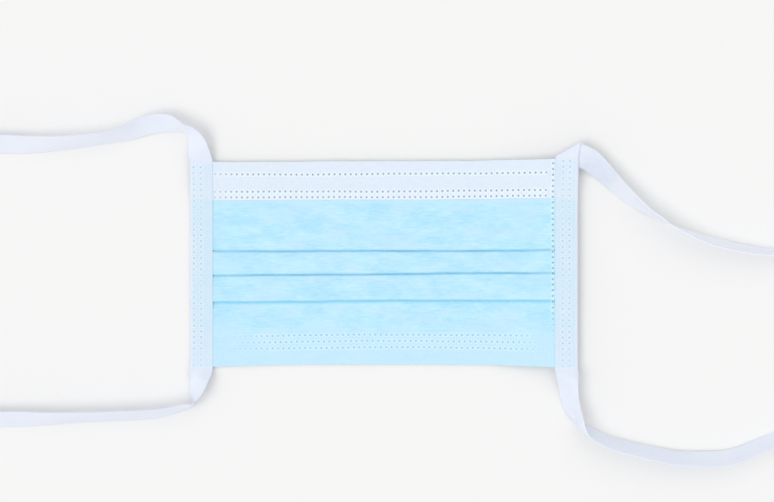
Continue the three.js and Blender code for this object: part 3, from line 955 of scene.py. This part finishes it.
def settle(x, y, z):
    # the flat section laid over the mask: squeezed at the bindings, lofted between them,
    # pressed at the welds, rippled, and lifted where something lies under it
    top = stackTop(y)
    side = smoothstep(*surface["sideRun"], np.abs(x))
    height = pleats["middleHeight"] + (pleats["sideHeight"] - pleats["middleHeight"]) * side
    upper, lower = weldRows["top"][0][0], weldRows["top"][1][0]
    ease = surface["channelEase"]
    channel = smoothstep(lower, lower + ease, y) * smoothstep(upper, upper - ease, y)
    height = height * (1.0 + surface["channelSwell"] * channel * (1.0 - side))
    field = weldField(x, y)
    along = np.cos(2.0 * np.pi * field[..., 0]) * 0.5 + 0.5
    press = np.exp(-((field[..., 1] * weldRows["pitch"] / weldRows["pressWidth"]) ** 2) * 2.0)
    between = surface["pressBetween"]
    press = surface["pressDepth"] * press * np.clip(field[..., 2], 0.0, 1.0)
    press = press * (between + (1.0 - between) * along)
    middle = surface["pressMiddle"] * top * height
    lifted = middle + (z * height - middle) * (1.0 - press)
    share = np.clip(z / top, 0.0, 1.0)
    lifted = lifted + share * (1.0 - surface["sideCalm"] * side) * waves(x, y, surface["waves"])
    rise, low, high = surface["edgeLift"]
    quiet = 1.0 - smoothstep(*surface["edgeCalm"], np.abs(x))
    lifted = lifted + quiet * rise * smoothstep(low, high, y)
    lifted = lifted + body["legLift"] * smoothstep(innerEdge - surface["legRun"], innerEdge, np.abs(x))
    covered = smoothstep(*(innerEdge + step for step in surface["coverX"]), np.abs(x))
    covered = covered * smoothstep(*surface["coverY"], np.abs(y))
    movedY = warpY(x, y) - np.sign(y) * surface["recede"] * covered
    lifted = np.maximum(lifted, 0.0) + sharedLift(x, movedY)
    return np.stack(np.broadcast_arrays(x, movedY, lifted), -1)


def layerColumns():
    # evenly spaced columns for the weld rows, and a few more at the bindings
    step = weldRows["pitch"] / weldRows["pitchColumns"]
    count = int((innerEdge - 2.5) / step)
    inner = np.arange(-count, count + 1) * step
    outer = np.concatenate([weldRows["sideX"] + np.array(weldRows["sideColumns"]), weldRows["endColumns"]])
    outer = outer[outer > inner[-1] + 0.2]
    return np.concatenate([-outer[::-1], inner, outer])


def makeLayer(name, node, middle, thickness, rowYs, toneOf, material):
    # a wall of one thickness about its own line, cut across by the columns and settled
    cuts, along = thinned(middle, rowYs)
    normals = lineNormals(middle)
    y, z, normalY, normalZ = (np.interp(cuts, along, column) for column in
                              (middle[:, 0], middle[:, 1], normals[:, 0], normals[:, 1]))
    half = thickness / 2
    outlineY = np.concatenate([y - half * normalY, (y + half * normalY)[::-1]])
    outlineZ = np.concatenate([z - half * normalZ, (z + half * normalZ)[::-1]])
    lengthAlong = np.concatenate([cuts, cuts[::-1]])
    x = layerColumns()[:, None]
    rings = settle(x, outlineY[None], outlineZ[None])
    uv = np.stack(np.broadcast_arrays(x, lengthAlong[None]), -1)
    tone, pale = toneOf(outlineY[None], lengthAlong[None], lipPlaces(middle))
    attributes = {
        "tone": np.broadcast_to(tone, rings.shape[:2]),
        "pale": np.broadcast_to(pale, rings.shape[:2]),
        "weld": weldField(x, outlineY[None]),
    }
    piece = ringMesh(name, node, rings, uv, attributes, material)
    flat = (float(np.ptp(layerColumns())) * mm, float(along[-1]) * mm)
    print(name, "flat size", np.round(flat, 4).tolist(), "faces", len(piece.data.polygons))
    return piece, flat


def outerShadeAndPale(y, along, lips):
    # painted shade, a deeper cyan, at each fold's lip and in the crevice just under it; paler under the
    # band's edge and down the hem
    tone = 0.0
    for lip, (name, strength) in zip(lips, pleats["lipShades"].items()):
        below = body["crossLines"][name][1] - y
        under = smoothstep(*pleats["underRun"], below) * smoothstep(*pleats["underStart"], below)
        onLip = smoothstep(*pleats["lipRun"], np.abs(along - lip))
        tone = np.maximum(tone, strength * np.maximum(under, onLip))
    bandEdge = body["crossLines"]["top"][1] - pleats["bandWidth"]
    share, start, end = pleats["hemPale"]
    pale = smoothstep(bandEdge - pleats["bandShade"], bandEdge, y) + share * smoothstep(start, end, y)
    return tone, pale


def innerTone(y, along, lips):
    # the band lies over the blue layer, the rest shows its own white
    bandEdge = body["crossLines"]["top"][1] - pleats["bandWidth"]
    alongMargin, yMargin = pleats["bandMargins"]
    return ((along < pleats["bandWidth"] + alongMargin) & (y > bandEdge - yMargin)) * 1.0, 0.0


outerLook = {
    **tapeLook,
    "thin": (167, 223, 250),
    "thick": (200, 239, 253),
    "streakShare": 0.42,
    "tint": (200, 230, 253, 0.45),
    "pale": (199, 232, 252, 1.0),
    # painted shade: the deeper cyan at the fold lips and in the crevices under them
    "tone": (146, 219, 246, 1.0),
    "toneGrain": 0.0,
    "fibre": (206, 242, 255, 0.25),
    "bond": (160, 216, 245, 0.12),
    "bondPitch": 1.1 * mm,
    "bondSize": 0.2,
    "rim": (224, 249, 255, 0.9),
    "dot": (126, 184, 208, 0.85),
    "dotSoftness": 0.14,
    "roughness": 0.82,
    "fibreRelief": 0.05,
    "patchRelief": 0.12,
    "bondRelief": 0.035,
    "dotRelief": 0.2,
}
innerLook = {
    **outerLook,
    "thin": (234, 241, 250),
    "thick": (244, 248, 252),
    "tint": (238, 241, 250, 0.45),
    "pale": (244, 248, 252, 1.0),
    "tone": (220, 232, 248, 1.0),
    "toneGrain": 0.15,
    "fibre": (238, 246, 255, 0.25),
    "bond": (204, 220, 240, 0.12),
    "rim": (240, 251, 255, 0.9),
    "dot": (140, 172, 194, 0.85),
}
outerMaterial = clothMaterial("outerNonwoven", outerLook)
innerMaterial = clothMaterial("innerNonwoven", innerLook)


def makeLayers():
    # the outer layer lies half a step in front of the drawn line and wraps round the bottom
    # edge; the inner one lies half a step behind it and wraps over the top edge
    line = middleLine()
    normals = lineNormals(line)
    outerLine = line - normals * sizes["offset"]
    tail = Pen(*outerLine[-1]).arc(sizes["wrap"], math.pi).run(pleats["hemWidth"] - sizes["reach"])
    outerLine = np.concatenate([outerLine, tail.line[1:]])
    innerLine = line + normals * sizes["offset"]
    head = Pen(*innerLine[0], heading=0.0).arc(sizes["wrap"], math.pi)
    head = head.run(pleats["bandWidth"] - sizes["reach"]).line
    innerLine = np.concatenate([head[:0:-1], innerLine])
    rowYs = [row[0] for row in weldRows["top"] + weldRows["bottom"]]
    # further samples just under each fold, where its painted shade lies
    underLips = [body["crossLines"][name][1] - pleats["underSample"] for name in pleats["lipShades"]]
    outer, outerFlat = makeLayer("outerLayerCloth", "outer_layer", outerLine, pleats["outerThickness"],
                                 rowYs + underLips, outerShadeAndPale, outerMaterial)
    inner, innerFlat = makeLayer("innerLayerCloth", "inner_layer", innerLine, pleats["innerThickness"],
                                 rowYs, innerTone, innerMaterial)
    print("layers ready")


makeLayers()

binding = {
    "clearance": 0.07,  # between the tape's leaves and the layers
    "endRun": 2.6,  # length over which a binding closes to a tie's height
    "dotPitch": 2.6,
    "stations": 4,  # to each pitch
    "columns": {-1: (1.9, 5.2), 1: (3.9, 7.0)},  # of dots, from the outer edge
    "dotStrength": 0.68,
    "dotWaves": [(0.18, 0.0, 0.026, 0.2), (0.12, 0.0, 0.061, 2.0)],  # of the dots' strength
    "dotEnds": (0.3, 1.2),  # where the dots set in from an end
    "pressDepth": 0.1,
    "pressWidth": 0.8,
    "easing": 2.5,  # how far along the tape a step of the pleats is smoothed over
    "underlayEnds": (0.2, 1.5),  # where the blue that shows through sets in, from an end
    "underlayEdge": (0.6, 1.8),  # and from the outer edge
    "underlay": [(48.0, 0.38), (30.0, 0.38), (28.6, 0.85), (-28.0, 0.85), (-36.0, 0.6), (-48.0, 0.6)],
}


def layersTop(side, y):
    # the highest z of both layers at each y of one side, less the shared lift, smoothed along y
    bins = np.linspace(y[0], y[-1], 2 * len(y))
    top = np.zeros(len(bins))
    for layer in ("outerLayerCloth", "innerLayerCloth"):
        mesh = bpy.data.meshes[layer]
        points = np.empty(3 * len(mesh.vertices), np.float32)
        mesh.vertices.foreach_get("co", points)
        points = points.reshape(-1, 3) / mm
        points = points[side * points[:, 0] > innerEdge - 0.5]
        plain = points[:, 2] - sharedLift(points[:, 0], points[:, 1])
        np.maximum.at(top, np.clip(np.searchsorted(bins, points[:, 1]), 0, len(bins) - 1), plain)
    away = np.abs(y[:, None] - bins[None])
    wide = np.where(away < binding["easing"], top[None], 0.0).max(1)
    weight = np.maximum(1.0 - np.abs(y[:, None] - y[None]) / binding["easing"], 0.0)
    return weight @ wide / weight.sum(1)


def makeBinding(name, node, side):
    # a folded tape along the side, as high as the layers inside it and closing at its ends
    bottom = crossLineY("bottom", side * halfWidth) - tape["endOverlap"]
    top = crossLineY("top", side * halfWidth) + tape["endOverlap"]
    count = int((top - bottom) / binding["dotPitch"] * binding["stations"])
    y = np.linspace(bottom, top, count + 1)
    full = layersTop(side, y) + binding["clearance"] + tape["leaf"]
    nearEnd = np.minimum(y - bottom, top - y)
    height = full + (tape["endHeight"] - full) * smoothstep(binding["endRun"], 0.0, nearEnd)
    centre = np.stack([np.full_like(y, side * (halfWidth - body["bindingWidth"] / 2)), y, height / 2], 1)
    across = np.repeat([[-1.0, 0.0, 0.0]], len(y), 0)
    normal = np.repeat([[0.0, 0.0, 1.0]], len(y), 0)
    rings, a = carryTape(centre, across, normal, height, -side, np.zeros(len(y)))
    along = np.broadcast_to(y[:, None], a.shape)
    away = np.min([np.abs(a - column) for column in binding["columns"][side]], 0)
    strength = binding["dotStrength"] + waves(0.0, y, binding["dotWaves"])
    strength = np.broadcast_to((strength * smoothstep(*binding["dotEnds"], nearEnd))[:, None], a.shape)
    weld = np.stack([along / binding["dotPitch"], away / binding["dotPitch"], strength], -1)
    press = np.exp(-2.0 * (away / binding["pressWidth"]) ** 2)
    press = press * (0.5 + 0.5 * np.cos(2 * np.pi * weld[..., 0]))
    upper = rings[..., 2] > height[:, None] / 2
    rings[..., 2] += np.where(upper, -1.0, 1.0) * binding["pressDepth"] * press
    rings[..., 2] += sharedLift(rings[..., 0], rings[..., 1])
    uv = np.stack([along, a], -1)
    stops = np.array(binding["underlay"][::-1])
    underlay = np.interp(along, stops[:, 0], stops[:, 1])
    tone = underlay * smoothstep(*binding["underlayEnds"], nearEnd)[:, None]
    tone = tone * smoothstep(*binding["underlayEdge"], a)
    attributes = {"tone": tone, "pale": np.zeros(a.shape), "weld": weld}
    piece = ringMesh(name, node, rings, uv, attributes, bindingMaterial)


makeBinding("bindingLeftTape", "binding_left", -1)
makeBinding("bindingRightTape", "binding_right", 1)
print("bindings ready")
